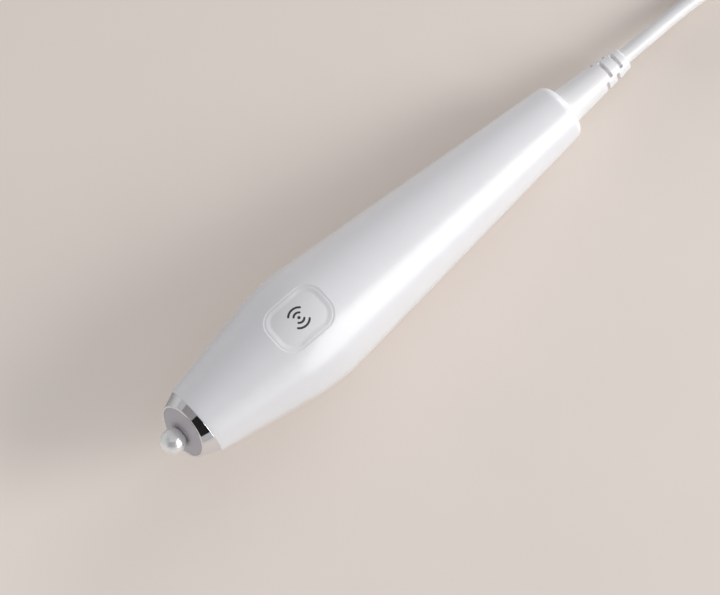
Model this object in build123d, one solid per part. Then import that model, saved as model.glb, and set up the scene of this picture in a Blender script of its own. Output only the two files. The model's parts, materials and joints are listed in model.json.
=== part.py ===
from build123d import *
import os
from math import cos, radians, sin, tan

# A hand-held, corded intraoral camera, in millimetres.
# The wand is drawn in its own frame: X runs along its axis from the front rim
# of the casing (x = 0) to the cable, and +Z points out of the button.
# It is then laid on a flat surface, where it rests along its rear cone, so the
# whole wand tips down towards the cable by the angle of that cone.
# The cable goes on along the surface to a tied hank and a USB plug.

# ---- Casing ---------------------------------------------------------------
NOSE_R = 10.0            # outer radius at the front rim
FRONT_ANGLE = 10.6       # half angle of the front cone, degrees
REAR_ANGLE = 5.3         # half angle of the rear cone, degrees
BELLY_X = 35.3           # where the two cones would meet
BELLY_BLEND = 60.0       # radius that rounds that meeting
BODY_L = 128.0
TAIL_ROUND = 2.8
WALL = 2.0
REAR_WALL = 2.5
MOUTH_R = 8.0            # bore at the front that takes the bezel's spigot
MOUTH_L = 8.0
RIM_ROUND = 0.3
TONGUE_START = 10.0
TONGUE_END = 122.0
TONGUE_IN = 0.75         # depth of the tongue's outer side below the surface
TONGUE_T = 0.6
TONGUE_H = 0.8
TONGUE_GAP = 0.1
BELLY_R = NOSE_R + BELLY_X * tan(radians(FRONT_ANGLE))

# ---- Casing screws and bosses ---------------------------------------------
CASE_SCREW_XS = (57.0, 101.0)
CASE_SCREW_R = 1.0
CASE_SCREW_L = 9.0
CASE_HEAD_R = 1.9
CASE_HEAD_H = 1.3
CASE_SEAT_Z = -4.2       # where the screw heads bear
CASE_BOSS_R = 2.9
PILOT_DEPTH = 5.6

# ---- Nose: bezel, light window, ball lens ---------------------------------
BEZEL_BASE_R = 9.85
BEZEL_TAPER = 0.432      # radius lost per millimetre
FACE_X = -4.9            # where the slanted front face crosses the axis
FACE_LEAN = 17.4         # the face looks this much upwards, degrees
WINDOW_R = 7.2
WINDOW_Z = 1.0           # the window's circle sits above the axis
WINDOW_SUNK = 0.15
WINDOW_SEAT_X = -1.5
WINDOW_BACK_X = -2.35
SPIGOT_R = 7.9
SPIGOT_BORE = 6.7
SPIGOT_END = 6.0
BALL_R = 3.45
BALL_X = -7.75
BALL_FLAT_X = -4.7       # ground flat that the ball is bonded on
BARREL_TIP_R = 1.85
BARREL_R = 2.6
BARREL_BORE = 2.1
BARREL_END = 11.0
LENS_R = 2.05
CARRIER_R = 6.6
CARRIER_BORE = 6.0
SENSOR_BOARD_R = 5.8
SENSOR_BOARD_X = 13.0
SENSOR_BOARD_T = 0.8
LED_COUNT = 6
LED_CIRCLE_R = 4.6

# ---- Main board -----------------------------------------------------------
BOARD_Z = 3.2            # underside
BOARD_T = 1.0
BOARD_START = 24.0
BOARD_END = 95.0
BOARD_W = 14.4
BOARD_TOP = BOARD_Z + BOARD_T
POST_SPOTS = ((47.0, 5.2), (47.0, -5.2), (83.0, 0.0))
POST_R = 1.6
BOARD_SCREW_R = 0.7
BOARD_HEAD_R = 1.4
BOARD_HEAD_H = 1.0

# ---- Button and its switch ------------------------------------------------
BUTTON_X = 35.4
BUTTON_L = 17.0
BUTTON_W = 12.8
BUTTON_CORNER = 4.6
BUTTON_GAP = 0.15        # all round, between cap and casing
BUTTON_SUNK = 0.35       # cap's face below the casing's surface
BUTTON_T = 2.0
FLANGE_T = 0.9
FLANGE_OUT = 1.0
STEM_R = 2.0
SWITCH_SIZE = 6.2
SWITCH_H = 3.5
PLUNGER_TOP = 9.4
PLUNGER_R = 1.65
PLUNGER_FLANGE_R = 2.1
DOME_R = 1.9             # snap dome of the switch, which the plunger rests on
DOME_H = 0.65
DOME_T = 0.12

# ---- Cable end, strain relief, cord ---------------------------------------
CABLE_R = 2.1
RELIEF_BASE_R = 5.1
RELIEF_TIP_R = 3.4
RELIEF_L = 21.0
RELIEF_NECK_R = 4.0
RELIEF_FLANGE_R = 5.9
RELIEF_FLANGE_X = 122.9
RELIEF_END = BODY_L + RELIEF_L
SLOT_X0 = BODY_L + 12.6
SLOT_PITCH = 1.9
SLOT_W = 0.85
SLOT_CORE_R = 2.75
CLAMP_X0 = 113.0
CLAMP_X1 = 117.0
CLAMP_SCREW_Y = 4.0
CABLE_INNER_X = 108.0
WIRE_R = 0.45

# ---- Where the wand lies --------------------------------------------------
APEX_X = BELLY_X + BELLY_R / tan(radians(REAR_ANGLE))
LIFT = APEX_X * sin(radians(REAR_ANGLE))
LEFT_END = BALL_X * cos(radians(REAR_ANGLE)) - BALL_R
RIGHT_END = RELIEF_END * cos(radians(REAR_ANGLE)) + RELIEF_TIP_R * sin(radians(REAR_ANGLE))
SHIFT = -(LEFT_END + RIGHT_END) / 2


def on_surface(shape):
    """Lay a shape of the wand's own frame, or a list of them, on the surface z = 0."""
    place = Pos(SHIFT, 0, LIFT) * Rot(0, REAR_ANGLE, 0)
    if isinstance(shape, list):
        return Compound([(place * piece).solid() for piece in shape])
    return place * shape


# ---- Plain shapes ---------------------------------------------------------
def cone_radius(x):
    """Radius of the casing's straight cones at x, without the belly's rounding."""
    angle = FRONT_ANGLE if x < BELLY_X else -REAR_ANGLE
    return BELLY_R + (x - BELLY_X) * tan(radians(angle))


def spindle(inset, start, end):
    """Solid inside the casing's outline, inset from it, between start and end.

    The surface's own seam line is turned to the lower side, clear of the
    parting plane and of every hole.
    """
    outline = Polyline(
        (start, 0),
        (start, cone_radius(start) - inset),
        (BELLY_X, BELLY_R - inset),
        (end, cone_radius(end) - inset),
        (end, 0),
        close=True,
    )
    face = make_face(outline)
    belly = face.vertices().sort_by(Axis.Y)[-1]
    return Rot(-45, 0, 0) * revolve(fillet(belly, BELLY_BLEND - inset), Axis.X)


def lathe(*points):
    """Solid of revolution about X of a closed outline of (x, radius) points."""
    return revolve(make_face(Polyline(*points, close=True)), Axis.X)


def rod_x(radius, start, end, y=0, z=0):
    rod = Cylinder(radius, end - start, align=(Align.CENTER, Align.CENTER, Align.MIN))
    return Pos(start, y, z) * Rot(0, 90, 0) * rod


def tube_x(outer, inner, start, end):
    return lathe((start, inner), (start, outer), (end, outer), (end, inner))


def rod_z(radius, x, y, low, high):
    rod = Cylinder(radius, high - low, align=(Align.CENTER, Align.CENTER, Align.MIN))
    return Pos(x, y, low) * rod


def block(x0, x1, y0, y1, z0, z1):
    low = (Align.MIN, Align.MIN, Align.MIN)
    return Pos(x0, y0, z0) * Box(x1 - x0, y1 - y0, z1 - z0, align=low)


def chip(x, y, length, width, height, z=BOARD_TOP):
    """A part lying on a board, centred at x, y."""
    return block(x - length / 2, x + length / 2, y - width / 2, y + width / 2, z, z + height)


def slab(low, high):
    """Everything of the wand between two heights."""
    return block(-20, BODY_L + 20, -25, 25, low, high)


def ball_through(rim_r, rim_x, pole_x):
    """Sphere on the axis through a circle at rim_x and its pole at pole_x."""
    depth = abs(pole_x - rim_x)
    radius = (rim_r ** 2 + depth ** 2) / (2 * depth)
    middle = pole_x + radius if pole_x < rim_x else pole_x - radius
    return Pos(middle, 0, 0) * Sphere(radius)


def pad(grow, low, high):
    """Rounded-square prism of the button's plan, grown all round."""
    plan = RectangleRounded(BUTTON_L + 2 * grow, BUTTON_W + 2 * grow, BUTTON_CORNER + grow)
    return Pos(BUTTON_X, 0, low) * extrude(plan, high - low)


# ---- Casing ---------------------------------------------------------------
def casing_shell():
    outer = spindle(0, 0, BODY_L)
    rims = outer.edges().filter_by(GeomType.CIRCLE).sort_by(Axis.X)
    outer = fillet(rims[-1], TAIL_ROUND)
    rims = outer.edges().filter_by(GeomType.CIRCLE).sort_by(Axis.X)
    outer = fillet(rims[0], RIM_ROUND)
    shell = outer - spindle(WALL, MOUTH_L, BODY_L - REAR_WALL)
    shell -= rod_x(MOUTH_R, -1, MOUTH_L + 1)
    return shell - rod_x(RELIEF_NECK_R + 0.05, BODY_L - REAR_WALL - 1, BODY_L + 1)


def tongue(gap):
    """The strip of wall along both seams that keys the two halves together."""
    outer = spindle(TONGUE_IN - gap, TONGUE_START - gap, TONGUE_END + gap)
    return outer - spindle(TONGUE_IN + TONGUE_T + gap, TONGUE_START - 1, TONGUE_END + 1)


def boss(radius, x, y, low, high):
    """A post that grows out of the casing's wall."""
    inside = spindle(WALL / 2, 1, BODY_L - 1)
    return rod_z(radius, x, y, low, high) & inside


def make_casing_top(shell):
    top = shell & slab(0, 25)
    for x in CASE_SCREW_XS:
        top += boss(CASE_BOSS_R, x, 0, 0, 25)
        top -= rod_z(CASE_SCREW_R - 0.1, x, 0, -1, PILOT_DEPTH)
    for x, y in POST_SPOTS:
        top += boss(POST_R, x, y, BOARD_TOP, 25)
        top -= rod_z(BOARD_SCREW_R - 0.1, x, y, BOARD_TOP - 1, BOARD_TOP + 3.5)
    top -= tongue(TONGUE_GAP) & slab(-1, TONGUE_H + TONGUE_GAP)
    return top - pad(BUTTON_GAP, 10, 25)


def make_casing_bottom(shell):
    bottom = shell & slab(-25, 0)
    bottom += tongue(0) & slab(-0.4, TONGUE_H)
    for x in CASE_SCREW_XS:
        bottom += boss(CASE_BOSS_R, x, 0, -25, 0)
        bottom -= rod_z(CASE_SCREW_R + 0.1, x, 0, -25, 1)
        bottom -= rod_z(CASE_HEAD_R + 0.2, x, 0, -25, CASE_SEAT_Z)
    for side in (-1, 1):
        y = side * CLAMP_SCREW_Y
        x = (CLAMP_X0 + CLAMP_X1) / 2
        bottom += boss(1.3, x, y, -25, -0.2)
        bottom -= rod_z(0.5, x, y, -3.0, 1)
    return bottom


def screw(x, y, seat, length, shank_r, head_r, head_h):
    """A pan-head screw pointing up, its head below the seat, with a cross recess."""
    head = rod_z(head_r, x, y, seat - head_h, seat)
    head = fillet(head.edges().sort_by(Axis.Z)[0], head_h * 0.4)
    body = head + rod_z(shank_r, x, y, seat - 0.1, seat + length)
    arm = head_r * 0.6
    for wide, deep in ((arm, head_r * 0.17), (head_r * 0.17, arm)):
        body -= block(x - wide, x + wide, y - deep, y + deep, seat - head_h - 1, seat - head_h * 0.5)
    return body


def make_casing_screws():
    size = (CASE_SEAT_Z, CASE_SCREW_L, CASE_SCREW_R - 0.1, CASE_HEAD_R, CASE_HEAD_H)
    return [screw(x, 0, *size) for x in CASE_SCREW_XS]


# ---- Nose and optics ------------------------------------------------------
def ahead_of_face(sunk=0.0):
    """Everything in front of the slanted face, or of a plane sunk behind it."""
    return Pos(FACE_X + sunk, 0, 0) * Rot(0, FACE_LEAN, 0) * block(-30, 0, -20, 20, -20, 20)


def make_nose():
    tip = -7.3
    bezel = lathe(
        (0, SPIGOT_R), (0, BEZEL_BASE_R), (tip, BEZEL_BASE_R + BEZEL_TAPER * tip), (tip, 5.0),
        (WINDOW_SEAT_X, 5.0), (WINDOW_SEAT_X, SPIGOT_BORE), (SPIGOT_END, SPIGOT_BORE),
        (SPIGOT_END, SPIGOT_R), (4.0, SPIGOT_R), (4.0, 7.2), (2.8, 7.2), (2.8, SPIGOT_R),
    )
    bezel -= rod_x(WINDOW_R, tip - 2, WINDOW_SEAT_X, 0, WINDOW_Z)
    bezel -= ahead_of_face()
    window = rod_x(WINDOW_R, tip - 2, WINDOW_SEAT_X, 0, WINDOW_Z)
    window -= ahead_of_face(WINDOW_SUNK)
    window -= rod_x(SPIGOT_BORE - 0.05, WINDOW_BACK_X, 0)
    window -= rod_x(BARREL_TIP_R + 0.1, tip, 0)
    window -= Pos(BALL_X, 0, 0) * Sphere(BALL_R + 0.08)
    seal = Pos(3.4, 0, 0) * Rot(0, 90, 0) * Torus(7.6, 0.4)
    ball = Pos(BALL_X, 0, 0) * Sphere(BALL_R)
    ball -= block(BALL_FLAT_X, BALL_FLAT_X + 5, -5, 5, -5, 5)
    return {"nose_bezel": bezel, "light_window": window, "bezel_seal": seal, "ball_lens": ball}


def make_lens(start, edge, bulge):
    """A biconvex lens of the barrel's bore, with its rim between start and start + edge."""
    lens = rod_x(LENS_R, start - bulge, start + edge + bulge)
    lens &= ball_through(LENS_R, start, start - bulge)
    return lens & ball_through(LENS_R, start + edge, start + edge + bulge)


def make_optics():
    barrel = lathe(
        (BALL_FLAT_X, 1.2), (BALL_FLAT_X, BARREL_TIP_R), (WINDOW_BACK_X, BARREL_TIP_R),
        (WINDOW_BACK_X, BARREL_R), (BARREL_END, BARREL_R), (BARREL_END, BARREL_BORE),
        (-2.0, BARREL_BORE), (-2.0, 1.2),
    )
    spacers = [tube_x(LENS_R, 1.6, 0.2, 2.0), tube_x(LENS_R, 1.6, 2.2, 4.0)]
    carrier = lathe(
        (-0.2, 5.4), (-0.2, CARRIER_R), (14.6, CARRIER_R), (14.6, CARRIER_BORE),
        (1.8, CARRIER_BORE), (1.8, BARREL_R + 0.02), (0.6, BARREL_R + 0.02), (0.6, 5.4),
    )
    holder = rod_x(CARRIER_BORE - 0.05, 6.4, SENSOR_BOARD_X)
    holder -= rod_x(BARREL_R + 0.02, 6, BARREL_END)
    holder -= block(BARREL_END - 0.01, SENSOR_BOARD_X + 1, -2.6, 2.6, -2.6, 2.6)
    board = rod_x(SENSOR_BOARD_R, SENSOR_BOARD_X, SENSOR_BOARD_X + SENSOR_BOARD_T)
    screws = []
    for y in (-4.2, 4.2):
        holder -= rod_x(0.45, SENSOR_BOARD_X - 3, SENSOR_BOARD_X + 1, y)
        board -= rod_x(0.6, SENSOR_BOARD_X - 1, SENSOR_BOARD_X + 2, y)
        back = SENSOR_BOARD_X + SENSOR_BOARD_T
        head = rod_x(1.0, back, back + 0.6, y)
        head -= block(back + 0.3, back + 1, y - 0.12, y + 0.12, -0.7, 0.7)
        screws.append(head + rod_x(0.45, back - 3.4, back + 0.1, y))
    sensor = block(SENSOR_BOARD_X - 1.0, SENSOR_BOARD_X, -2.5, 2.5, -2.5, 2.5)
    filter_glass = block(11.1, 11.6, -2.6, 2.6, -2.6, 2.6)
    led_board = tube_x(6.5, BARREL_R + 0.2, -1.0, -0.2)
    leds = []
    for n in range(LED_COUNT):
        led = block(-1.9, -1.0, -0.8, 0.8, LED_CIRCLE_R - 0.8, LED_CIRCLE_R + 0.8)
        leds.append(Rot(360 / LED_COUNT * n, 0, 0) * led)
    return {
        "lens_barrel": barrel,
        "relay_lens_front": make_lens(-0.9, 0.7, 0.25),
        "aperture_stop": tube_x(LENS_R, 0.7, 2.0, 2.2),
        "lens_spacers": spacers,
        "relay_lens_rear": make_lens(4.35, 0.9, 0.3),
        "lens_retainer": tube_x(LENS_R, 1.4, 5.6, 6.8),
        "optics_carrier": carrier,
        "sensor_holder": holder,
        "infrared_filter": filter_glass,
        "image_sensor": sensor,
        "sensor_board": board,
        "sensor_screws": screws,
        "led_board": led_board,
        "leds": leds,
    }


# ---- Main board -----------------------------------------------------------
def make_electronics():
    plan = block(BOARD_START, BOARD_END, -BOARD_W / 2, BOARD_W / 2, BOARD_Z, BOARD_TOP)
    board = chamfer(plan.edges().filter_by(Axis.Z), 1.5)
    for x in CASE_SCREW_XS[:1]:
        board -= rod_z(CASE_BOSS_R + 0.3, x, 0, 0, 10)
    screws = []
    for x, y in POST_SPOTS:
        board -= rod_z(BOARD_SCREW_R + 0.1, x, y, 0, 10)
        screws.append(screw(x, y, BOARD_Z, 4.2, BOARD_SCREW_R - 0.1, BOARD_HEAD_R, BOARD_HEAD_H))
    back = SENSOR_BOARD_X + SENSOR_BOARD_T
    sensor_socket = block(back, back + 1.2, -2.6, 2.6, 2.2, 4.0)
    flex = block(back + 1.2, 26.0, -2.0, 2.0, 4.6, 4.85)
    flex += block(back + 1.2, back + 1.45, -2.0, 2.0, 2.4, 4.85)
    flex_socket = chip(27.5, 0, 3.0, 6.0, 1.2)
    flex_socket -= block(25.9, 27.0, -2.1, 2.1, 4.55, 4.9)
    flex += block(25.9, 27.0, -2.0, 2.0, 4.6, 4.85)
    capacitors = []
    for x, y in ((50.5, -3.0), (50.5, 3.0), (64.0, 5.4), (64.0, -5.4), (86.0, -4.8), (86.0, 4.8)):
        capacitors.append(chip(x, y, 2.0, 1.25, 0.9))
    return {
        "main_board": board,
        "board_screws": screws,
        "sensor_socket": sensor_socket,
        "flex_cable": flex,
        "flex_socket": flex_socket,
        "video_processor": chip(69.5, 0, 9.0, 9.0, 1.0),
        "memory_chip": chip(78.0, -1.0, 4.0, 5.0, 0.9),
        "clock_crystal": chip(78.0, 4.6, 3.2, 2.5, 0.8),
        "capacitors": capacitors,
    }


# ---- Button ---------------------------------------------------------------
def make_button():
    skin = pad(0, 10, 25) & (
        spindle(BUTTON_SUNK, 10, 70) - spindle(BUTTON_SUNK + BUTTON_T, 9, 71))
    under = WALL + 0.15
    flange = pad(FLANGE_OUT, 8, 25) & (
        spindle(under, 10, 70) - spindle(under + FLANGE_T, 9, 71))
    stem = rod_z(STEM_R, BUTTON_X, 0, PLUNGER_TOP, 14.2)
    half = SWITCH_SIZE / 2
    base = block(BUTTON_X - half, BUTTON_X + half, -half, half, BOARD_TOP, BOARD_TOP + SWITCH_H)
    base = chamfer(base.edges().filter_by(Axis.Z), 0.5)
    lid = BOARD_TOP + SWITCH_H - 0.6
    base -= rod_z(PLUNGER_FLANGE_R + 0.1, BUTTON_X, 0, BOARD_TOP + 0.8, lid)
    base -= rod_z(PLUNGER_R + 0.1, BUTTON_X, 0, lid - 1, lid + 2)
    floor = BOARD_TOP + 0.8
    plunger = rod_z(PLUNGER_R, BUTTON_X, 0, floor + DOME_H, PLUNGER_TOP)
    plunger += rod_z(PLUNGER_FLANGE_R, BUTTON_X, 0, floor + DOME_H, lid - 0.15)
    sphere_r = (DOME_R ** 2 + DOME_H ** 2) / (2 * DOME_H)
    centre = Pos(BUTTON_X, 0, floor + DOME_H - sphere_r)
    dome = centre * Sphere(sphere_r) - centre * Sphere(sphere_r - DOME_T)
    dome &= slab(floor, floor + DOME_H + 1)
    return {
        "button_cap": skin + flange + stem,
        "switch_base": base,
        "switch_plunger": plunger,
        "switch_dome": dome,
    }


# ---- Cable end ------------------------------------------------------------
def make_relief():
    """Tapered boot moulded on the cable, with two pairs of staggered slots."""
    boot = lathe(
        (RELIEF_FLANGE_X, 0), (RELIEF_FLANGE_X, RELIEF_FLANGE_R), (BODY_L - REAR_WALL, RELIEF_FLANGE_R),
        (BODY_L - REAR_WALL, RELIEF_NECK_R), (BODY_L, RELIEF_NECK_R), (BODY_L, RELIEF_BASE_R),
        (RELIEF_END, RELIEF_TIP_R), (RELIEF_END, 0),
    )
    rims = boot.edges().filter_by(GeomType.CIRCLE).sort_by(Axis.X)
    boot = fillet(rims[-1], 0.6)
    for row in range(4):
        x = SLOT_X0 + SLOT_PITCH * row
        cutter = tube_x(8, SLOT_CORE_R, x - SLOT_W / 2, x + SLOT_W / 2)
        if row % 2:
            wings = block(x - 2, x + 2, -2.7, 2.7, -9, 9)
        else:
            wings = block(x - 2, x + 2, -9, 9, -2.7, 2.7)
        boot -= cutter & wings
    return boot - rod_x(CABLE_R, RELIEF_FLANGE_X - 1, RELIEF_END + 1)


def wire(points):
    path = FilletPolyline(*points, radius=1.0)
    section = Plane(origin=path @ 0, z_dir=path % 0) * Circle(WIRE_R)
    return sweep(section, path=path)


def make_cable_end():
    mid = (CLAMP_X0 + CLAMP_X1) / 2
    clamp = block(CLAMP_X0, CLAMP_X1, -5.2, 5.2, -0.2, 1.4)
    clamp += rod_x(3.2, CLAMP_X0, CLAMP_X1) & slab(-0.2, 5)
    clamp -= rod_x(CABLE_R, CLAMP_X0 - 1, CLAMP_X1 + 1)
    screws = []
    for side in (-1, 1):
        y = side * CLAMP_SCREW_Y
        clamp -= rod_z(0.65, mid, y, -1, 3)
        head = rod_z(1.0, mid, y, 1.4, 2.1)
        head -= block(mid - 0.7, mid + 0.7, y - 0.12, y + 0.12, 1.8, 3)
        screws.append(head + rod_z(0.45, mid, y, -2.6, 1.5))
    wires = []
    for side in (-1, 1):
        for step in (0.65, 1.95):
            y = side * step
            turn = side * (3.2 + step)
            start = (side * step / 2, (step - 1.3) * 0.9)
            wires.append(wire([
                (CABLE_INNER_X, *start), (CABLE_INNER_X - 1.8, *start), (102.6, turn, 3.0),
                (98.2, turn, 3.6), (95.8, y, BOARD_TOP + 1.4), (94.0, y, BOARD_TOP + 1.4),
            ]))
    header = chip(90.0, 0, 2.6, 8.0, 3.2)
    plug = block(91.3, 94.0, -3.4, 3.4, BOARD_TOP + 0.3, BOARD_TOP + 2.9)
    return {
        "strain_relief": make_relief(),
        "cable_jacket_end": rod_x(CABLE_R, CABLE_INNER_X, RELIEF_END),
        "cable_clamp": clamp,
        "clamp_screws": screws,
        "signal_wires": wires,
        "wire_header": header,
        "wire_plug": plug,
    }


# ---- Cord on the surface --------------------------------------------------
# Route points are (x, y, z) in the row's frame. The lead leaves the strain
# relief along the wand's axis, comes down to the surface and runs into the
# side of the hank; the tail comes off the hank's top to the plug, which lies
# on the tie.
LEAD_ROUTE = (
    (79.608, 0.0, 6.033),
    (92.0, 0.0, 4.883),
    (106.0, -0.1, 3.15),
    (117.0, -2.4, 2.2),
    (126.0, -8.2, 2.1),
    (135.5, -13.2, 2.1),
    (145.5, -14.6, 2.1),
)
TAIL_ROUTE = (
    (129.5, -10.2, 17.2),
    (140.0, -13.0, 19.3),
    (150.5, -10.9, 20.1),
    (160.0, -6.6, 21.7),
    (170.0, -5.0, 22.8),
)
HANK_X0 = 122.0
HANK_X1 = 206.1
HANK_Y = 2.5
HANK_END_R = 19.05
HANK_SHOULDER = 15.6     # half width between the end loops and the waist
HANK_WAIST = 11.3
HANK_H = 17.1
TIE_X0 = 160.0
TIE_X1 = 168.0
TIE_T = 1.0
PLUG_BODY_L = 25.0
PLUG_BODY_W = 15.5
PLUG_BODY_H = 7.8
PLUG_SHELL_L = 18.6
PLUG_SHELL_W = 12.0
PLUG_SHELL_H = 4.5
PLUG_SHELL_T = 0.4


def corner_radii(route):
    """The largest arc each corner takes: 0.45 of its shorter run at the tangent."""
    points = [Vector(*point) for point in route]
    radii = []
    for before, here, after in zip(points, points[1:], points[2:]):
        turn = (here - before).get_angle(after - here)
        shorter = min((here - before).length, (after - here).length)
        radii.append(0.45 * shorter / tan(radians(turn / 2)))
    return radii


def cord_tube(name, route):
    radii = corner_radii(route)
    path = FilletPolyline(*route, radius=radii)
    section = Plane(origin=path @ 0, z_dir=path % 0) * Circle(CABLE_R)
    tube = sweep(section, path=path)
    expected = Circle(CABLE_R).area * path.length
    print(name, "radii", [round(r, 1) for r in radii], "length", round(path.length, 1),
          "volume", round(tube.volume / expected, 4))
    return tube


def make_hank():
    """Outer shape of the folded cable: two round ends, pinched where the tie holds it."""
    near = HANK_X0 + HANK_END_R
    far = HANK_X1 - HANK_END_R
    plan = Pos(near, HANK_Y) * Circle(HANK_END_R) + Pos(far, HANK_Y) * Circle(HANK_END_R)
    stations = (
        (near, HANK_END_R), (near + 9, HANK_SHOULDER), (TIE_X0 - 3, HANK_WAIST),
        (TIE_X1 + 3, HANK_WAIST), (far - 9, HANK_SHOULDER), (far, HANK_END_R),
    )
    sides = [(x, HANK_Y - half) for x, half in stations]
    sides += [(x, HANK_Y + half) for x, half in reversed(stations)]
    plan += make_face(Polyline(*sides, close=True))
    hank = extrude(plan, HANK_H)
    hank -= block(TIE_X0, TIE_X1, HANK_Y - 20, HANK_Y + 20, -1, TIE_T)
    high = HANK_H + 0.7
    return hank + block(TIE_X0 - 3, TIE_X1 + 3, HANK_Y - HANK_WAIST, HANK_Y + HANK_WAIST, TIE_T, high)


def make_tie():
    high = HANK_H + 0.7
    outer = block(TIE_X0, TIE_X1, HANK_Y - HANK_WAIST - TIE_T, HANK_Y + HANK_WAIST + TIE_T,
                  0, high + TIE_T)
    inner = block(TIE_X0 - 1, TIE_X1 + 1, HANK_Y - HANK_WAIST, HANK_Y + HANK_WAIST, TIE_T, high)
    return outer - inner


def make_plug():
    x, y, z = TAIL_ROUTE[-1]
    low = z - PLUG_BODY_H / 2
    body = block(x, x + PLUG_BODY_L, y - PLUG_BODY_W / 2, y + PLUG_BODY_W / 2, low, low + PLUG_BODY_H)
    body = fillet(body.edges().filter_by(Axis.X), 2.0)
    start = x + PLUG_BODY_L
    end = start + PLUG_SHELL_L
    half_w = PLUG_SHELL_W / 2
    half_h = PLUG_SHELL_H / 2
    shell = block(start, end, y - half_w, y + half_w, z - half_h, z + half_h)
    hole = (half_w - PLUG_SHELL_T, half_h - PLUG_SHELL_T)
    shell -= block(start - 1, end + 1, y - hole[0], y + hole[0], z - hole[1], z + hole[1])
    for side in (-1, 1):
        shell -= block(start + 7, start + 9.5, y + side * 2.9 - 1.1, y + side * 2.9 + 1.1, z, z + 5)
    insert = block(start, end - 0.6, y - hole[0], y + hole[0], z - hole[1], z - 0.1)
    contacts = []
    for across in (-3.5, -1.0, 1.0, 3.5):
        contacts.append(block(end - 9.0, end - 1.2, y + across - 0.5, y + across + 0.5, z - 0.1, z))
    return {
        "usb_plug_grip": body,
        "usb_plug_shell": shell,
        "usb_plug_insert": insert,
        "usb_contacts": Compound([contact.solid() for contact in contacts]),
    }


def main():
    shell = casing_shell()
    wand = {"casing_top": make_casing_top(shell), "casing_bottom": make_casing_bottom(shell)}
    wand["casing_screws"] = make_casing_screws()
    for make in (make_nose, make_optics, make_electronics, make_button, make_cable_end):
        wand.update(make())
    nodes = {name: on_surface(shape) for name, shape in wand.items()}
    nodes["cable_lead"] = cord_tube("cable_lead", LEAD_ROUTE)
    nodes["cable_hank"] = make_hank()
    nodes["cable_tail"] = cord_tube("cable_tail", TAIL_ROUTE)
    nodes["hank_tie"] = make_tie()
    nodes.update(make_plug())
    exit_x, exit_y, exit_z = on_surface(Pos(RELIEF_END, 0, 0)).position
    print("shift", SHIFT, "lift", LIFT, "exit", exit_x, exit_y, exit_z)
    os.makedirs("parts", exist_ok=True)
    for name, shape in nodes.items():
        export_step(shape, f"parts/{name}.step")


main()
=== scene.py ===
import json
from math import atan2, cos, degrees, hypot, pi, radians, sin, sqrt, tan

import bpy
from mathutils import Matrix, Vector


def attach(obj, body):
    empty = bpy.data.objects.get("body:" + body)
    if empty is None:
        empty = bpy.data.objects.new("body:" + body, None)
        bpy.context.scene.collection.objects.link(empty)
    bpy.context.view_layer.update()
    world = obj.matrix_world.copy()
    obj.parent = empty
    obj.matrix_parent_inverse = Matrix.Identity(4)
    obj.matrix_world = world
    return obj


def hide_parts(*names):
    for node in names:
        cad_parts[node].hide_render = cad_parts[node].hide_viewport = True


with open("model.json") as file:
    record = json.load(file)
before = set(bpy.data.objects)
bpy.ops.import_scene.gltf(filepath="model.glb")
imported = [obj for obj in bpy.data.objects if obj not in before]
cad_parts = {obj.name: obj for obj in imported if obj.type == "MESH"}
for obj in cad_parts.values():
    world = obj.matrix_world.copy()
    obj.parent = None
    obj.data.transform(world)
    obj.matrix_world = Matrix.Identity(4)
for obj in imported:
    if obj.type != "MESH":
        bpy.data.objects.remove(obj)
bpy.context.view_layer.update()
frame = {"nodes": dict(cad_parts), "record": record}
nodes = frame["nodes"]

# The wand is drawn in its own frame, in millimetres: X from the casing's front
# rim to the cable, +Z out of the button. It lies on its rear cone.
TILT = radians(5.3)
SHIFT = -68.755
LIFT = 19.796
WAND = (
    Matrix.Scale(0.001, 4)
    @ Matrix.Translation((SHIFT, 0, LIFT))
    @ Matrix.Rotation(TILT, 4, "Y")
)
TURN = Matrix.Rotation(TILT, 3, "Y")

NOSE_R, BELLY_X, BLEND, BODY_L, TAIL_ROUND, RIM_ROUND = 10.0, 35.3, 60.0, 128.0, 2.8, 0.3
FRONT, REAR = radians(10.6), radians(-5.3)
BELLY_R = NOSE_R + BELLY_X * tan(FRONT)


# ---- Camera ---------------------------------------------------------------
def make_camera():
    """Nearly overhead, 1 m away, rolled 7 degrees, then swung a little about the wand's axis."""
    azimuth, elevation, roll = radians(-124.24), radians(80.65), radians(-7.29)
    target = Vector((-0.01544, -0.00316, 0.015))
    distance = 1.001
    swing = radians(3.6)
    back = Vector((cos(azimuth) * cos(elevation), sin(azimuth) * cos(elevation), sin(elevation)))
    level = Vector((-sin(azimuth), cos(azimuth), 0))
    right = Matrix.Rotation(roll, 3, back) @ level
    up = back.cross(right)
    camera = bpy.data.objects.new("camera", bpy.data.cameras.new("camera"))
    bpy.context.scene.collection.objects.link(camera)
    turn = Matrix((right, up, back)).transposed()
    placed = Matrix.Translation(target + back * distance) @ turn.to_4x4()
    pivot = Matrix.Translation(WAND @ Vector((0, 0, 0)))
    orbit = Matrix.Rotation(swing, 4, TURN @ Vector((1, 0, 0)))
    camera.matrix_world = pivot @ orbit @ pivot.inverted() @ placed
    camera.data.sensor_width = 36.0
    camera.data.lens = 192.9
    camera.data.clip_start = 0.05
    bpy.context.scene.camera = camera


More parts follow.
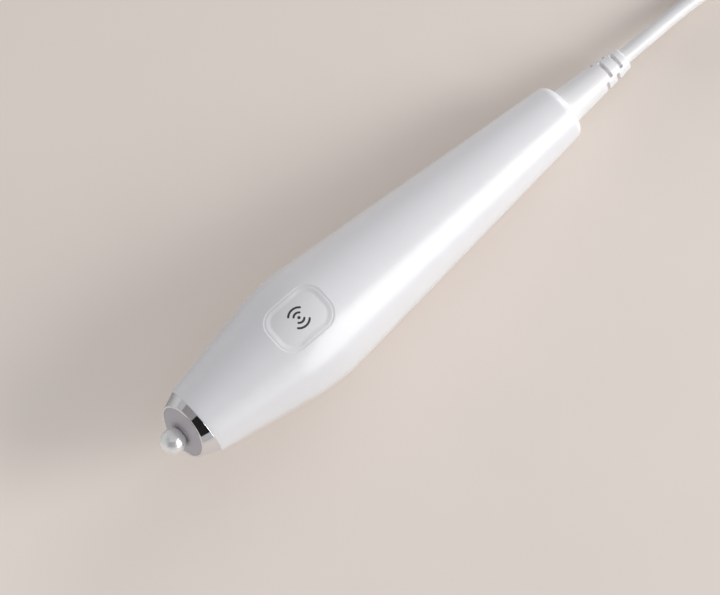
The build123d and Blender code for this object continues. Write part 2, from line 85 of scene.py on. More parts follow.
# ---- Shader helpers -------------------------------------------------------
class Shader:
    """A material under construction: nodes are added by name and linked by socket."""

    def __init__(self, name):
        self.mat = bpy.data.materials.new(name)
        self.mat.use_nodes = True
        self.tree = self.mat.node_tree
        self.bsdf = self.tree.nodes["Principled BSDF"]
        self.where = self.tree.nodes.new("ShaderNodeTexCoord").outputs["Object"]

    def set(self, **values):
        for name, value in values.items():
            self.bsdf.inputs[name.replace("_", " ")].default_value = value
        return self

    def node(self, kind, links=None, **values):
        made = self.tree.nodes.new(kind)
        for name, value in values.items():
            if name in made.inputs:
                made.inputs[name].default_value = value
            else:
                setattr(made, name, value)
        for name, source in (links or {}).items():
            self.tree.links.new(source, made.inputs[name])
        return made

    def noise(self, size_mm, detail=3.0, stretch=None):
        """Noise from 0 to 1 with features of about that size."""
        where = self.where
        if stretch:
            where = self.node("ShaderNodeMapping", {"Vector": where}, Scale=stretch).outputs[0]
        scale = 1000.0 / size_mm
        made = self.node("ShaderNodeTexNoise", {"Vector": where}, Scale=scale, Detail=detail)
        return made.outputs["Fac"]

    def span(self, source, low, high, edges=(0.3, 0.7)):
        """Map a 0 to 1 value to low..high."""
        made = self.node("ShaderNodeMapRange", {"Value": source})
        made.inputs["From Min"].default_value = edges[0]
        made.inputs["From Max"].default_value = edges[1]
        made.inputs["To Min"].default_value = low
        made.inputs["To Max"].default_value = high
        return made.outputs["Result"]

    def blend(self, source, first, second, edges=(0.3, 0.7)):
        """Mix two colours by a 0 to 1 value."""
        ramp = self.node("ShaderNodeValToRGB", {"Fac": source})
        ramp.color_ramp.elements[0].position = edges[0]
        ramp.color_ramp.elements[0].color = (*first, 1)
        ramp.color_ramp.elements[1].position = edges[1]
        ramp.color_ramp.elements[1].color = (*second, 1)
        return ramp.outputs["Color"]

    def colour(self, source):
        self.tree.links.new(source, self.bsdf.inputs["Base Color"])
        return self

    def rough(self, source):
        self.tree.links.new(source, self.bsdf.inputs["Roughness"])
        return self

    def bump(self, source, depth_mm, strength=1.0):
        made = self.node("ShaderNodeBump", {"Height": source}, Strength=strength, Distance=depth_mm / 1000)
        self.tree.links.new(made.outputs["Normal"], self.bsdf.inputs["Normal"])
        return self


def shade(colour, factor):
    return tuple(min(1.0, c * factor) for c in colour)


def plastic(name, colour, rough, grain_mm=0.5, grain_depth=0.004, vary=0.03, coat=0.0, soft=0.0):
    """Moulded plastic: faint mottling of colour and gloss, and the mould's fine grain."""
    s = Shader(name)
    cloud = s.noise(9.0, 4.0)
    s.colour(s.blend(cloud, shade(colour, 1 - vary), shade(colour, 1 + vary)))
    s.rough(s.span(s.noise(1.7, 5.0), rough * 0.88, rough * 1.12))
    s.bump(s.noise(grain_mm, 4.0), grain_depth, 0.35)
    s.set(IOR=1.49)
    if coat:
        s.set(Coat_Weight=coat, Coat_Roughness=0.05)
    if soft:
        s.set(Subsurface_Weight=soft, Subsurface_Scale=0.002)
    return s.mat


def metal(name, colour, rough, brush=None, vary=0.05, metallic=1.0):
    """Metal with a fine brushed or turned grain where brush gives its stretch."""
    s = Shader(name)
    grain = s.noise(0.35, 6.0, brush or (1, 1, 1))
    s.colour(s.blend(s.noise(4.0, 3.0), shade(colour, 1 - vary), shade(colour, 1 + vary)))
    s.rough(s.span(grain, rough * 0.8, rough * 1.25))
    s.bump(grain, 0.002, 0.3 if brush else 0.08)
    s.set(Metallic=metallic)
    return s.mat


def glass(name, colour, rough, transmission, ior=1.52):
    s = Shader(name)
    s.colour(s.blend(s.noise(3.0), shade(colour, 0.97), shade(colour, 1.03)))
    s.rough(s.span(s.noise(0.8, 5.0), rough, rough * 1.6))
    s.set(Transmission_Weight=transmission, IOR=ior)
    return s.mat


WHITE = (0.80, 0.80, 0.815)
MATERIALS = {
    "casing_white": plastic("casing_white", WHITE, 0.24, grain_mm=0.35, grain_depth=0.003, vary=0.012),
    "button_white": plastic("button_white", (0.79, 0.79, 0.80), 0.30, vary=0.012),
    "polished_chrome": metal("polished_chrome", (0.86, 0.86, 0.875), 0.045, vary=0.01),
    "grey_window": plastic("grey_window", (0.42, 0.405, 0.43), 0.42, vary=0.02),
    "silvered_glass": metal("silvered_glass", (0.93, 0.93, 0.925), 0.22, vary=0.005, metallic=0.5),
    "clear_glass": glass("clear_glass", (0.93, 0.97, 0.99), 0.01, 1.0),
    "filter_glass": glass("filter_glass", (0.55, 0.85, 0.90), 0.02, 0.9),
    "barrel_steel": metal("barrel_steel", (0.45, 0.45, 0.47), 0.28, brush=(40, 1, 1)),
    "screw_steel": metal("screw_steel", (0.60, 0.60, 0.61), 0.25, brush=(1, 1, 12)),
    "spring_steel": metal("spring_steel", (0.72, 0.72, 0.71), 0.18, brush=(1, 8, 1)),
    "crystal_can": metal("crystal_can", (0.78, 0.78, 0.79), 0.22, brush=(1, 14, 1)),
    "black_rubber": plastic("black_rubber", (0.022, 0.022, 0.024), 0.62, 0.25, 0.01, 0.15),
    "black_plastic": plastic("black_plastic", (0.030, 0.030, 0.034), 0.48, 0.4, 0.01, 0.12),
    "plunger_white": plastic("plunger_white", (0.80, 0.78, 0.72), 0.45, 0.4, 0.006, 0.03),
    "chip_black": plastic("chip_black", (0.032, 0.032, 0.036), 0.55, 0.12, 0.008, 0.15),
    "board_white": plastic("board_white", (0.80, 0.80, 0.77), 0.36, 0.2, 0.003, 0.03),
    "led_yellow": plastic("led_yellow", (0.90, 0.76, 0.22), 0.35, 0.2, 0.006, 0.06, soft=0.3),
    "connector_ivory": plastic("connector_ivory", (0.78, 0.74, 0.62), 0.42, 0.3, 0.005, 0.04),
    "capacitor_tan": plastic("capacitor_tan", (0.40, 0.28, 0.16), 0.5, 0.2, 0.006, 0.1),
    "clamp_nylon": plastic("clamp_nylon", (0.76, 0.76, 0.72), 0.42, 0.4, 0.006, 0.03, soft=0.1),
    "wire_red": plastic("wire_red", (0.52, 0.035, 0.03), 0.34, 0.3, 0.004, 0.06),
    "relief_white": plastic("relief_white", (0.80, 0.80, 0.805), 0.42, 0.5, 0.006, 0.015, soft=0.08),
    "cable_white": plastic("cable_white", (0.80, 0.80, 0.805), 0.38, 0.7, 0.006, 0.015, soft=0.08),
    "plug_white": plastic("plug_white", (0.79, 0.79, 0.80), 0.36, 0.4, 0.006, 0.015, soft=0.06),
    "plug_insert_white": plastic("plug_insert_white", (0.80, 0.80, 0.79), 0.40, 0.4, 0.004, 0.02),
    "plug_nickel": metal("plug_nickel", (0.74, 0.73, 0.71), 0.16, brush=(1, 10, 1)),
    "contact_gold": metal("contact_gold", (0.86, 0.62, 0.25), 0.18, brush=(1, 10, 1)),
}


def make_board_green():
    """Solder mask over copper: fine tracks show as raised, slightly paler lines."""
    s = Shader("board_green")
    cells = s.node("ShaderNodeTexVoronoi", {"Vector": s.where}, Scale=420.0, distance="CHEBYCHEV")
    track = s.span(cells.outputs["Distance"], 0, 1, (0.25, 0.30))
    s.colour(s.blend(track, (0.010, 0.13, 0.045), (0.020, 0.20, 0.075), (0.4, 0.6)))
    s.bump(track, 0.03, 0.4).set(Roughness=0.32, Coat_Weight=0.3)
    return s.mat


def make_flex_amber():
    """Polyimide film with copper strips along it."""
    s = Shader("flex_amber")
    stripes = s.node("ShaderNodeTexWave", {"Vector": s.where}, Scale=330.0, bands_direction="Y")
    s.colour(s.blend(stripes.outputs["Fac"], (0.30, 0.12, 0.015), (0.62, 0.33, 0.09), (0.35, 0.65)))
    s.bump(stripes.outputs["Fac"], 0.02, 0.4).set(Roughness=0.3, Coat_Weight=0.4)
    return s.mat


def make_tie_grey():
    """Woven hook-and-loop tape: a fine plain weave under a fuzz of loops."""
    s = Shader("tie_grey")
    warp = s.node(
        "ShaderNodeTexWave", {"Vector": s.where}, Scale=520.0, bands_direction="X", Distortion=0.6
    )
    weft = s.node(
        "ShaderNodeTexWave", {"Vector": s.where}, Scale=520.0, bands_direction="DIAGONAL", Distortion=0.6
    )
    weave = s.node(
        "ShaderNodeMath", {0: warp.outputs["Fac"], 1: weft.outputs["Fac"]}, operation="MULTIPLY"
    ).outputs[0]
    fuzz = s.noise(0.35, 8.0)
    both = s.node("ShaderNodeMath", {0: weave, 1: fuzz}, operation="ADD").outputs[0]
    s.colour(s.blend(both, (0.26, 0.26, 0.27), (0.46, 0.46, 0.47), (0.5, 1.1)))
    s.bump(both, 0.12, 0.6).set(Roughness=0.85, Sheen_Weight=0.25, Sheen_Roughness=0.5)
    return s.mat


MATERIALS["board_green"] = make_board_green()
MATERIALS["flex_amber"] = make_flex_amber()
MATERIALS["tie_grey"] = make_tie_grey()


def paint_nodes():
    """Give every carried-over CAD node the material of its slot."""
    for part in frame["record"]["subparts"]:
        mesh = nodes[part["node"]].data
        mesh.materials.clear()
        mesh.materials.append(MATERIALS[part["material_slot"]])


# ---- Mesh helpers ---------------------------------------------------------
def add_piece(name, points, faces, slot, body="handpiece", stands_for=()):
    """A smooth-shaded piece from points in the wand's own frame, riding on a body."""
    mesh = bpy.data.meshes.new(name)
    mesh.from_pydata([WAND @ Vector(p) for p in points], [], faces)
    mesh.validate()
    mesh.materials.append(MATERIALS[slot])
    for face in mesh.polygons:
        face.use_smooth = True
    piece = bpy.data.objects.new(name, mesh)
    bpy.context.scene.collection.objects.link(piece)
    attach(piece, body)
    if stands_for:
        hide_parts(*stands_for)
    return piece


def arc(cx, cy, radius, start, end, steps):
    """Points of an arc, angles in degrees."""
    turn = [radians(start + (end - start) * i / steps) for i in range(steps + 1)]
    return [(cx + radius * cos(a), cy + radius * sin(a)) for a in turn]


def lathe(name, profile, slot, sides=192, stands_for=(), body="handpiece"):
    """Surface of revolution about X of (x, radius) points, closed where they reach the axis."""
    points, rings, faces = [], [], []
    for x, r in profile:
        if r < 1e-6:
            points.append((x, 0, 0))
            rings.append([len(points) - 1] * sides)
            continue
        start = len(points)
        for k in range(sides):
            a = 2 * pi * k / sides
            points.append((x, r * sin(a), r * cos(a)))
        rings.append(list(range(start, start + sides)))
    for near, far in zip(rings, rings[1:]):
        for k in range(sides):
            ring = [near[k], far[k], far[(k + 1) % sides], near[(k + 1) % sides]]
            kept = [v for i, v in enumerate(ring) if v != ring[i - 1]]
            if len(kept) > 2:
                faces.append(kept)
    return add_piece(name, points, faces, slot, body, stands_for)


# ---- Cord -----------------------------------------------------------------
CABLE_D = 0.0042
LEAD = [
    (79.608, 0.0, 6.033), (92.0, 0.0, 4.883), (106.0, -0.1, 3.15), (117.0, -2.4, 2.2),
    (126.0, -8.2, 2.1), (135.5, -13.2, 2.1), (145.5, -14.6, 2.1),
]
TAIL = [
    (129.5, -10.2, 17.2), (140.0, -13.0, 19.3), (150.5, -10.9, 20.1), (160.0, -6.6, 21.7),
    (170.0, -5.0, 22.8),
]
HANK_NEAR, HANK_FAR, HANK_Y = 142.05, 186.05, 2.5
TURNS = [(1, 0), (0, 0), (0, 1), (1, 1), (1, 2), (0, 2), (0, 3), (1, 3)]  # (width step, layer)
RISE_TO_PLUG = (1, 3.8)


def hank_turn(turn, following):
    """One turn of the folded cable: out along its -Y side, round, and back along +Y.

    The near end of the loop climbs or widens to where the following turn starts.
    """
    loop, waist, z = fold_radius(turn), 4.5 + 4.25 * turn[0], 2.1 + 4.2 * turn[1]
    high = z + 1.0
    points = [(159.0, HANK_Y - waist, high), (169.0, HANK_Y - waist, high)]
    for a in (-104, -72, -43, -14.5, 14.5, 43, 72, 104):
        points.append((HANK_FAR + loop * cos(radians(a)), HANK_Y + loop * sin(radians(a)), z))
    points += [(169.0, HANK_Y + waist, high), (159.0, HANK_Y + waist, high)]
    next_loop, next_z = fold_radius(following), 2.1 + 4.2 * following[1]
    for k, a in enumerate((76, 108, 137, 165.5, 194.5, 223, 252, 284)):
        part = k / 7
        r = loop + (next_loop - loop) * part
        points.append((
            HANK_NEAR + r * cos(radians(a)), HANK_Y + r * sin(radians(a)), z + (next_z - z) * part,
        ))
    return points


def fold_radius(turn):
    return 13.4 + 4.0 * turn[0]


def make_cord():
    points = list(LEAD)
    for turn, following in zip(TURNS, TURNS[1:]):
        points += hank_turn(turn, following)
    points += hank_turn(TURNS[-1], RISE_TO_PLUG)[:-3]
    points += TAIL
    data = bpy.data.curves.new("cable", "CURVE")
    data.dimensions = "3D"
    spline = data.splines.new("NURBS")
    spline.points.add(len(points) - 1)
    for spot, p in zip(spline.points, points):
        spot.co = (p[0] / 1000, p[1] / 1000, p[2] / 1000, 1)
    spline.order_u = 3
    spline.use_endpoint_u = True
    spline.resolution_u = 10
    data.bevel_depth = CABLE_D / 2
    data.bevel_resolution = 8
    data.use_fill_caps = True
    data.materials.append(MATERIALS["cable_white"])
    cable = bpy.data.objects.new("cable", data)
    bpy.context.scene.collection.objects.link(cable)
    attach(cable, "handpiece")
    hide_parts("cable_lead", "cable_hank", "cable_tail")


make_camera()
paint_nodes()
make_cord()


# ---- Casing ---------------------------------------------------------------
BLEND_START = BELLY_X - BLEND * tan((FRONT - REAR) / 2) * cos(FRONT)
BLEND_END = BELLY_X + BLEND * tan((FRONT - REAR) / 2) * cos(REAR)
BLEND_X = BLEND_START + BLEND * sin(FRONT)
BLEND_R = NOSE_R + BLEND_START * tan(FRONT) - BLEND * cos(FRONT)
BUTTON_X, BUTTON_L, BUTTON_W, BUTTON_CORNER = 35.4, 17.0, 12.8, 4.6
SCREW_XS = (57.0, 101.0)


def casing_r(x):
    """Radius of the casing's outside at x: two cones and the belly's blend."""
    if x < BLEND_START:
        return NOSE_R + x * tan(FRONT)
    if x < BLEND_END:
        return BLEND_R + sqrt(BLEND ** 2 - (x - BLEND_X) ** 2)
    return BELLY_R + (x - BELLY_X) * tan(REAR)


def casing_profile(bands):
    """(x, radius) along the casing; bands are the x ranges that need finer steps."""
    line = [(0.0, 8.3), (0.0, 9.2)]
    line += [(RIM_ROUND - x, NOSE_R - RIM_ROUND + r) for x, r in arc(0, 0, RIM_ROUND, 0, 85, 6)]
    x = 0.8
    while x < BODY_L - TAIL_ROUND - 0.5:
        line.append((x, casing_r(x)))
        inside = [b for b in bands if b[0] - 1e-6 <= x < b[1] - 1e-6]
        ahead = [b[0] for b in bands if b[0] > x]
        step = (inside[0][1] - inside[0][0]) / inside[0][2] if inside else 1.1
        if not inside and ahead and x + step * 1.5 > min(ahead):
            step = min(ahead) - x
        x += step
    centre_r = casing_r(BODY_L - TAIL_ROUND) - TAIL_ROUND / cos(REAR)
    line += arc(BODY_L - TAIL_ROUND, centre_r, TAIL_ROUND, 84.7, 0, 14)
    line += [(BODY_L, 4.6), (BODY_L - 0.1, 4.1)]
    return line


def rounded_box_ray(angle, half_l, half_w, corner):
    """Distance from the centre to a rounded rectangle's outline at that angle."""
    dx, dy = abs(cos(angle)), abs(sin(angle))
    if dx * (half_w - corner) >= dy * half_l:
        return half_l / dx
    if dy * (half_l - corner) >= dx * half_w:
        return half_w / dy
    cx, cy = half_l - corner, half_w - corner
    along = dx * cx + dy * cy
    return along + sqrt(along ** 2 - (cx ** 2 + cy ** 2 - corner ** 2))


def ease(t):
    t = min(1.0, max(0.0, t))
    return t * t * (3 - 2 * t)


def casing_half(name, side, slot, node, holes):
    """Half of the casing's skin, above (side 1) or below (-1) the seam.

    Each hole gives its centre x, the x and angle ranges of its patch, its outline's
    ray length by angle, how far the skin drops at a distance from the outline, and
    the wall's rings below it as (outset, z).
    """
    profile = casing_profile([(h["x"][0], h["x"][1], h["steps"]) for h in holes])
    widest = max(h["angle"] for h in holes)
    angles = [-90 + (90 - widest) * i / 24 for i in range(24)]
    angles += [-widest + 2 * widest * i / 44 for i in range(44)]
    angles += [widest + (90 - widest) * i / 24 for i in range(25)]
    lip = [(0.008, 0.5), (0.008, 0.06), (0.02, 0.02), (0.06, 0.0)]
    points, faces, grid = [], [], []

    def put(x, y, z):
        points.append((x, y, z * side))
        return len(points) - 1

    def cut(i, j):
        for h in holes:
            low, high = h["span_i"]
            a, b = h["span_j"]
            if low < i < high and a < j < b:
                return True
        return False

    columns = len(lip) + len(angles) - 2 + len(lip)
    for h in holes:
        xs = [x for x, r in profile]
        first = min(range(len(xs)), key=lambda k: abs(xs[k] - h["x"][0]))
        last = min(range(len(xs)), key=lambda k: abs(xs[k] - h["x"][1]))
        inner = [k for k, a in enumerate(angles) if abs(a) <= h["angle"] + 1e-6]
        h["span_i"] = (first, last)
        h["span_j"] = (inner[0] + len(lip) - 1, inner[-1] + len(lip) - 1)
    for i, (x, r) in enumerate(profile):
        row = [put(x, -(r - c), z) for z, c in lip]
        for a in angles[1:-1]:
            j = len(row)
            t = radians(a)
            row.append(None if cut(i, j) else put(x, r * sin(t), r * cos(t)))
        row += [put(x, r - c, z) for z, c in reversed(lip)]
        grid.append(row)
    for i in range(len(grid) - 1):
        for j in range(columns - 1):
            ring = (grid[i][j], grid[i + 1][j], grid[i + 1][j + 1], grid[i][j + 1])
            inside = any(
                h["span_i"][0] <= i < h["span_i"][1] and h["span_j"][0] <= j < h["span_j"][1]
                for h in holes
            )
            if not inside and None not in ring:
                faces.append(ring)
    for h in holes:
        (i0, i1), (j0, j1) = h["span_i"], h["span_j"]
        around = [(i, j0) for i in range(i0, i1)] + [(i1, j) for j in range(j0, j1)]
        around += [(i, j1) for i in range(i1, i0, -1)] + [(i0, j) for j in range(j1, j0, -1)]
        outer = [grid[i][j] for i, j in around]
        rays = []
        for v in outer:
            x, y, z = points[v]
            dx, dy = x - h["centre"], y
            reach = hypot(dx, dy)
            rays.append((dx / reach, dy / reach, h["outline"](atan2(dy, dx)), reach))
        previous, rings = outer, 20
        for k in range(rings - 1, -1, -1):
            ring = []
            for dx, dy, inner, reach in rays:
                gap = (reach - inner) * (k / rings) ** 2.2
                x, y = h["centre"] + dx * (inner + gap), dy * (inner + gap)
                r = casing_r(x) - h["drop"](gap)
                ring.append(put(x, y, sqrt(r * r - y * y)))
            faces += bridge(previous, ring)
            previous = ring
        for inset, z in h["wall"]:
            ring = []
            for dx, dy, inner, reach in rays:
                x, y = h["centre"] + dx * (inner - inset), dy * (inner - inset)
                r = casing_r(x) - h["drop"](0)
                ring.append(put(x, y, sqrt(r * r - y * y) + z if z <= 0 else z))
            faces += bridge(previous, ring)
            previous = ring
    if side < 0:
        faces = [tuple(reversed(f)) for f in faces]
    return add_piece(name, points, faces, slot, "handpiece", [node])


def bridge(outer, inner):
    count = len(outer)
    return [(outer[k], outer[(k + 1) % count], inner[(k + 1) % count], inner[k]) for k in range(count)]


def button_ray(angle):
    return rounded_box_ray(angle, BUTTON_L / 2, BUTTON_W / 2, BUTTON_CORNER)


LIP_DROP = 0.16
DISH_DROP = 0.50
GAP = 0.004


def make_casing():
    window = {
        "centre": BUTTON_X, "x": (BUTTON_X - 11.9, BUTTON_X + 11.9), "steps": 44, "angle": 34.0,
        "outline": lambda a: button_ray(a) + GAP,
        "drop": lambda d: LIP_DROP * (1 - ease(d / 0.55)),
        "wall": [(0.0, -0.03), (0.0, -0.5), (0.0, -1.8)],
    }
    casing_half("casing_skin_top", 1, "casing_white", "casing_top", [window])
    bores = []
    for x in SCREW_XS:
        bores.append({
            "centre": x, "x": (x - 4.4, x + 4.4), "steps": 14, "angle": 34.0,
            "outline": lambda a: 2.1, "drop": lambda d: 0.25 * max(0.0, 1 - d / 0.25) ** 2,
            "wall": [(0.0, -0.2), (0.0, -2.0), (0.0, 4.4), (0.05, 4.2), (1.0, 4.2)],
        })
    casing_half("casing_skin_bottom", -1, "casing_white", "casing_bottom", bores)


# ---- Button ---------------------------------------------------------------
def cap_drop(inset):
    """How far the cap's face lies below the casing's surface, by distance in from its edge."""
    return LIP_DROP + (DISH_DROP - LIP_DROP) * ease(inset / 1.7)


def cap_z(x, y, drop):
    r = casing_r(x) - drop
    return sqrt(r * r - y * y)


def make_button():
    points, faces = [], []
    sides = 176
    rays = [(cos(2 * pi * k / sides), sin(2 * pi * k / sides)) for k in range(sides)]
    reach = [button_ray(2 * pi * k / sides) - GAP for k in range(sides)]
    rings = [(0.02, 1.9), (0.0, 1.5), (0.0, 0.004), (0.006, 0.0), (0.05, 0.0)]
    rings += [(0.15 * k, 0.0) for k in range(1, 15)]
    previous = None
    for inset, lower in rings:
        ring = []
        for (dx, dy), far in zip(rays, reach):
            x, y = BUTTON_X + dx * (far - inset), dy * (far - inset)
            points.append((x, y, cap_z(x, y, cap_drop(inset)) - lower))
            ring.append(len(points) - 1)
        if previous:
            faces += bridge(previous, ring)
        previous = ring
    for k in range(1, 12):
        share = 1 - k / 12
        ring = []
        for (dx, dy), far in zip(rays, reach):
            x, y = BUTTON_X + dx * (far - 2.1) * share, dy * (far - 2.1) * share
            points.append((x, y, cap_z(x, y, DISH_DROP)))
            ring.append(len(points) - 1)
        faces += bridge(previous, ring)
        previous = ring
    points.append((BUTTON_X, 0, cap_z(BUTTON_X, 0, DISH_DROP)))
    faces += [(previous[k], previous[(k + 1) % sides], len(points) - 1) for k in range(sides)]
    add_piece("button_face", points, faces, "button_white", "button", ["button_cap"])


def ink_arc(points, faces, radius, start, end, stroke):
    """A curved stroke with round ends, printed on the cap's face."""
    steps, ends = 28, 8
    outline = []
    for k in range(steps + 1):
        a = radians(start + (end - start) * k / steps)
        outline.append(((radius + stroke / 2) * cos(a), (radius + stroke / 2) * sin(a)))
    a = radians(end)
    for k in range(1, ends):
        t = a + pi * k / ends
        outline.append((radius * cos(a) + stroke / 2 * cos(t), radius * sin(a) + stroke / 2 * sin(t)))
    for k in range(steps + 1):
        b = radians(end + (start - end) * k / steps)
        outline.append(((radius - stroke / 2) * cos(b), (radius - stroke / 2) * sin(b)))
    a = radians(start)
    for k in range(1, ends):
        t = a + pi + pi * k / ends
        outline.append((radius * cos(a) + stroke / 2 * cos(t), radius * sin(a) + stroke / 2 * sin(t)))
    first = len(points)
    for dx, dy in outline:
        x, y = BUTTON_X + dx, dy
        points.append((x, y, cap_z(x, y, DISH_DROP) + 0.018))
    half = steps + 1
    for k in range(steps):
        faces.append((first + k, first + k + 1, first + half + ends - 1 + steps - k - 1,
                      first + half + ends - 1 + steps - k))
    tip = [first + steps + k for k in range(ends + 1)]
    faces.append(tuple(tip))
    back = [first + half + ends - 1 + steps + k for k in range(ends)] + [first]
    faces.append(tuple(back))


def make_icon():
    points, faces = [], []
    for middle in (90, 270):
        for radius in (1.38, 2.75):
            ink_arc(points, faces, radius, middle - 46, middle + 46, 0.56)
    first = len(points)
    for k in range(24):
        x, y = BUTTON_X + 0.42 * cos(2 * pi * k / 24), 0.42 * sin(2 * pi * k / 24)
        points.append((x, y, cap_z(x, y, DISH_DROP) + 0.018))
    faces.append(tuple(range(first, first + 24)))
    add_piece("button_pictogram", points, faces, "chip_black", "button")


# ---- Nose -----------------------------------------------------------------
FACE_X, FACE_SLOPE, FACE_SUNK, TAPER, BEZEL_R = -4.9, tan(radians(17.4)), 0.15, 0.432, 9.85
WINDOW_R, WINDOW_Z = 7.2, 1.0
BALL_X, BALL_R = -7.75, 3.45


def ring_mesh(name, rings, slot, stands_for):
    """Skin a stack of rings with equal numbers of points, the last joined to the first."""
    count = len(rings[0])
    points = [p for ring in rings for p in ring]
    faces = []
    for k in range(len(rings)):
        here, there = k * count, (k + 1) % len(rings) * count
        for n in range(count):
            m = (n + 1) % count
            faces.append((here + n, here + m, there + m, there + n))
    return add_piece(name, points, faces, slot, stands_for=stands_for)


def around(x, radius, rise=0.0, steps=256, slope=0.0):
    """A ring about the axis; with a slope its points lie on a slanted plane."""
    ring = []
    for n in range(steps):
        a = 2 * pi * n / steps
        z = rise + radius * cos(a)
        ring.append((x + slope * z, radius * sin(a), z))
    return ring


def tip_x(angle):
    """X where the bezel's cone meets the slanted face, at that angle from +Z."""
    lean = FACE_SLOPE * cos(angle)
    return (FACE_X + BEZEL_R * lean) / (1 - TAPER * lean)


def cone_ring(part_way, steps=256):
    """A ring on the bezel's cone, part of the way from its base to the slanted face."""
    ring = []
    for n in range(steps):
        a = 2 * pi * n / steps
        tip = tip_x(a)
        x = -0.10 + (tip + 0.20) * part_way
        r = BEZEL_R + TAPER * x - 0.01
        ring.append((x, r * sin(a), r * cos(a)))
    return ring


def rim_ring(inward, ahead, steps=256):
    """A ring on the bezel's rounded front edge."""
    ring = []
    for n in range(steps):
        a = 2 * pi * n / steps
        tip = tip_x(a)
        r = BEZEL_R + TAPER * tip - 0.01 - inward
        ring.append((FACE_X + FACE_SLOPE * r * cos(a) + ahead, r * sin(a), r * cos(a)))
    return ring


def make_nose():
    base = [(0.02, 7.9), (0.02, 9.70), (-0.03, 9.80)]
    rings = [around(x, r) for x, r in base] + [cone_ring(k / 24) for k in range(25)]
    rings += [rim_ring(0.0, 0.05), rim_ring(0.04, 0.012), rim_ring(0.12, 0.0)]
    rings += [around(FACE_X, WINDOW_R + 0.08, WINDOW_Z, slope=FACE_SLOPE)]
    rings += [around(FACE_X + 0.08, WINDOW_R, WINDOW_Z, slope=FACE_SLOPE)]
    rings += [around(-1.5, WINDOW_R, WINDOW_Z)]
    sleeve = [(-1.5, 6.7), (6.0, 6.7), (6.0, 7.9), (4.0, 7.9), (4.0, 7.2), (2.8, 7.2), (2.8, 7.9)]
    rings += [around(x, r) for x, r in sleeve]
    ring_mesh("nose_ring", rings, "polished_chrome", ["nose_bezel"])

    sunk = FACE_X + FACE_SUNK
    rings = [around(-2.35, 1.95), around(-2.35, 6.6), around(-1.52, 6.65)]
    rings += [around(-1.52, WINDOW_R - 0.02, WINDOW_Z)]
    rings += [around(sunk + 0.06, WINDOW_R - 0.02, WINDOW_Z, slope=FACE_SLOPE)]
    for k in range(28):
        t = k / 27
        r = (WINDOW_R - 0.06) * (1 - t) + 2.7 * t
        rise = WINDOW_Z * (1 - t)
        rings.append(around(sunk - 0.12 * (1 - (r / WINDOW_R) ** 2), r, rise, slope=FACE_SLOPE))
    rings += [around(-4.60, 2.15), around(-4.76, 1.88)]
    ring_mesh("nose_face", rings, "grey_window", ["light_window"])
    ball = [(-4.7, 0), (-4.7, 1.55)] + arc(BALL_X, 0, BALL_R, 27.9, 180, 64)
    ball[-1] = (BALL_X - BALL_R, 0)
    lathe("nose_ball", ball, "silvered_glass", 128, ["ball_lens"])


# ---- Strain relief --------------------------------------------------------
SLOT_X, SLOT_PITCH, SLOT_ROWS, SLOT_FLOOR_R = 140.6, 1.9, 4, 2.75


def slot_depth(x, angle):
    """0 to 1, how far the boot is cut at x and angle from +Z, with moulded soft edges."""
    deepest = 0.0
    for row in range(SLOT_ROWS):
        across = abs(x - (SLOT_X + SLOT_PITCH * row))
        turned = abs(degrees(angle)) if row % 2 else abs(abs(degrees(angle)) - 90)
        if row % 2:
            turned = min(turned, 180 - turned)
        cut = ease((0.50 - across) / 0.14) * ease((42 - turned) / 6)
        deepest = max(deepest, cut)
    return deepest


def make_relief():
    xs = [128.0, 128.05, 128.2, 128.5] + [129 + 0.95 * k for k in range(11)]
    x = 139.4
    while x < 147.6:
        xs.append(x)
        x += 0.07
    xs += [147.8, 148.1]
    sides = 240
    rings, points, faces = [], [], []

    def ring_at(x, radius):
        ring = []
        for k in range(sides):
            a = 2 * pi * k / sides
            angle = a if a <= pi else a - 2 * pi
            r = radius - (radius - SLOT_FLOOR_R) * slot_depth(x, angle)
            points.append((x, r * sin(a), r * cos(a)))
            ring.append(len(points) - 1)
        rings.append(ring)

    def boot_r(x):
        return 5.1 - 1.7 * (x - 128) / 21

    ring_at(126.5, 4.0)
    ring_at(127.98, 4.0)
    ring_at(127.98, 5.04)
    for x in xs:
        ring_at(x, boot_r(x) + 0.06 * max(0.0, 1 - (x - 128) / 0.4) ** 2)
    for x, r in arc(148.3, boot_r(148.3) - 0.7, 0.7, 86, 0, 10):
        ring_at(x, r)
    ring_at(149.0, 2.3)
    ring_at(148.8, 2.12)
    ring_at(147.0, 2.12)
    for near, far in zip(rings, rings[1:]):
        faces += bridge(near, far)
    add_piece("cable_boot", points, faces, "relief_white", "handpiece", ["strain_relief"])


make_casing()
make_button()
make_icon()
make_nose()
make_relief()


# ---- Floor and light ------------------------------------------------------
FLOOR_HALF = 3.0
FLOOR_PAPER = (0.86, 0.78, 0.71)


def make_floor():
    """A plain, pale paper floor in one colour."""
    h = FLOOR_HALF
    mesh = bpy.data.meshes.new("floor")
    mesh.from_pydata([(-h, -h, 0), (h, -h, 0), (h, h, 0), (-h, h, 0)], [], [(0, 1, 2, 3)])
    s = Shader("floor_paper")
    s.colour(s.blend(s.noise(40.0), shade(FLOOR_PAPER, 0.99), shade(FLOOR_PAPER, 1.01)))
    s.bump(s.noise(0.6, 5.0), 0.01, 0.2).set(Roughness=0.8, Specular_IOR_Level=0.2)
    mesh.materials.append(s.mat)
    floor = bpy.data.objects.new("floor", mesh)
    bpy.context.scene.collection.objects.link(floor)


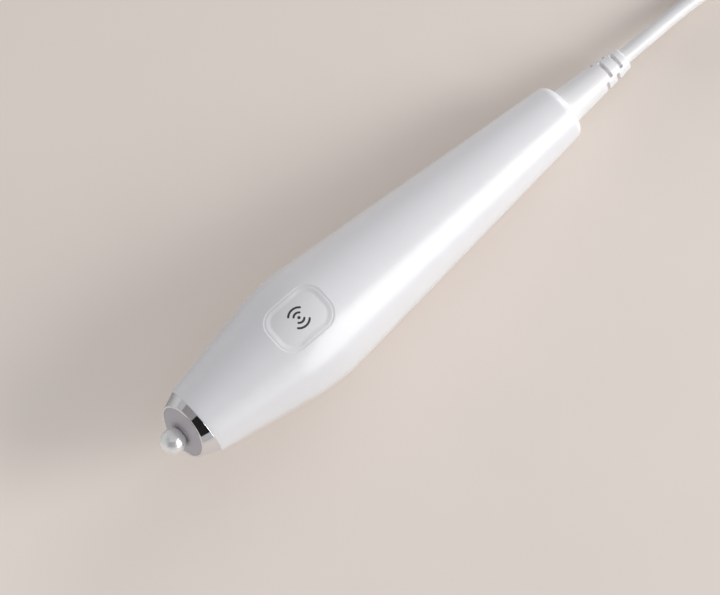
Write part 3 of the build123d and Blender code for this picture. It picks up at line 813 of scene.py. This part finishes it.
def softbox(name, toward, distance, size, power, aim=(0.0, 0.0, 0.02)):
    light = bpy.data.lights.new(name, "AREA")
    light.shape = "RECTANGLE"
    light.size, light.size_y = size
    light.energy = power
    lamp = bpy.data.objects.new(name, light)
    bpy.context.scene.collection.objects.link(lamp)
    way = Vector(toward).normalized()
    lamp.location = Vector(aim) + way * distance
    lamp.rotation_mode = "QUATERNION"
    lamp.rotation_quaternion = way.to_track_quat("Z", "Y")
    return lamp


def card(name, toward, distance, size, shade_of, aim):
    """A studio card that only shows in reflections."""
    mesh = bpy.data.meshes.new(name)
    w, h = size[0] / 2, size[1] / 2
    mesh.from_pydata([(-w, -h, 0), (w, -h, 0), (w, h, 0), (-w, h, 0)], [], [(0, 1, 2, 3)])
    s = Shader(name + "_paper")
    s.colour(s.blend(s.noise(40.0), shade(shade_of, 0.97), shade(shade_of, 1.03))).set(Roughness=0.9)
    mesh.materials.append(s.mat)
    made = bpy.data.objects.new(name, mesh)
    bpy.context.scene.collection.objects.link(made)
    way = (TURN @ Vector(toward)).normalized()
    made.location = aim + way * distance
    made.rotation_mode = "QUATERNION"
    made.rotation_quaternion = way.to_track_quat("Z", "Y")
    made.visible_camera = False
    made.visible_shadow = False
    made.visible_diffuse = False


make_floor()
nose = WAND @ Vector((-3, 0, 0))
card("black_card", (-0.568, -0.505, 0.655), 0.5, (0.84, 0.46), (0.002, 0.002, 0.002), nose)
card("grey_card", (-0.568, 0.386, 0.727), 0.52, (0.36, 0.30), (0.28, 0.28, 0.29), nose)
card("white_card", (-0.10, 0.72, -0.60), 0.033, (0.12, 0.10), (0.55, 0.56, 0.55), nose)
softbox("key", (0.70, -0.65, 0.34), 1.1, (0.5, 0.5), 7.8)
softbox("fill", (0.96, 0.20, 0.25), 1.1, (0.5, 0.5), 3.4)
softbox("nose_light", (-0.95, 0.0, 0.25), 0.25, (0.12, 0.12), 0.14, aim=nose).visible_glossy = False
softbox("gloss", (0.35, -0.83, 0.42), 0.9, (1.1, 0.78), 11.5).visible_diffuse = False
world = bpy.data.worlds.new("studio")
bpy.context.scene.world = world
world.use_nodes = True
sky = world.node_tree.nodes["Background"].inputs
sky["Color"].default_value = (0.97, 0.965, 1.0, 1)
sky["Strength"].default_value = 0.48
bpy.context.scene.view_settings.view_transform = "Standard"
